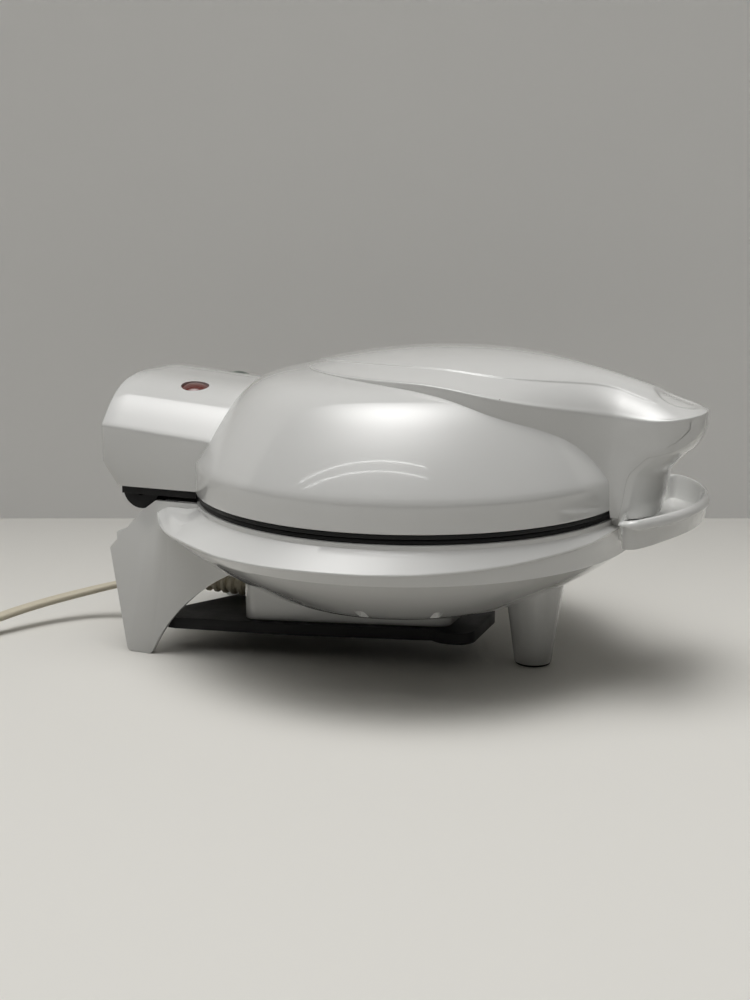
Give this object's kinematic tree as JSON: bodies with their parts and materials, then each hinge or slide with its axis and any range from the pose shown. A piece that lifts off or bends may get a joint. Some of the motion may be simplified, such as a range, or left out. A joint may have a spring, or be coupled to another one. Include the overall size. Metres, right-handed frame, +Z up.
{
  "type": "donut maker",
  "caption": "White electric donut maker with a domed hinged lid, black ring-mould plates, two indicator lamps, rear legs, a front foot and a flat ivory cord.",
  "frame": {"origin": "centre of the closed object's bounding box, at the bottom of its feet, with the cord left out", "axes": "+X towards the handles, +Y to the far side of the picture's view, +Z up"},
  "size_m": [0.4958, 0.2578, 0.1496],
  "materials": {
    "white_plastic": "gloss",
    "nonstick_black": "satin",
    "black_plastic": "satin",
    "heater_metal": "satin",
    "bright_metal": "satin",
    "pin_steel": "satin",
    "red_lens": "gloss",
    "green_lens": "gloss",
    "lamp_glass": "gloss",
    "block_plastic": "matte",
    "foot_rubber": "matte",
    "ivory_vinyl": "satin",
    "tie_black": "matte",
    "blade_brass": "polished"
  },
  "bodies": {
    "base": {"base_shell": "white_plastic", "rear_leg_near": "white_plastic", "rear_leg_far": "white_plastic", "front_foot": "white_plastic", "front_foot_pad": "foot_rubber", "lower_plate": "nonstick_black", "lower_element": "heater_metal", "lower_heat_shield": "bright_metal", "thermostat": "black_plastic", "hinge_ears": "black_plastic", "hinge_pin_near": "pin_steel", "hinge_pin_far": "pin_steel", "wiring_box": "white_plastic", "terminal_block": "block_plastic", "cord_wrap_plate": "black_plastic", "wrap_plate_screws": "pin_steel", "strain_relief": "ivory_vinyl", "power_cord": "ivory_vinyl", "cord_coil": "ivory_vinyl", "cord_tie": "tie_black", "plug_body": "ivory_vinyl", "plug_blades": "blade_brass"},
    "lid": {"lid_shell": "white_plastic", "upper_handle_cover": "white_plastic", "upper_plate": "nonstick_black", "upper_element": "heater_metal", "upper_heat_shield": "bright_metal", "power_lamp_lens": "red_lens", "ready_lamp_lens": "green_lens", "power_lamp_bulb": "lamp_glass", "ready_lamp_bulb": "lamp_glass", "lid_hinge_bracket": "black_plastic", "lid_hinge_screws": "pin_steel", "thermal_fuse": "bright_metal"}
  },
  "joints": [
    {"name": "lid_hinge", "type": "hinge", "parent": "base", "child": "lid", "pos_m": [-0.1213, 0, 0.0805], "axis": [0, -1, 0], "range_deg": [0, 95]}
  ]
}
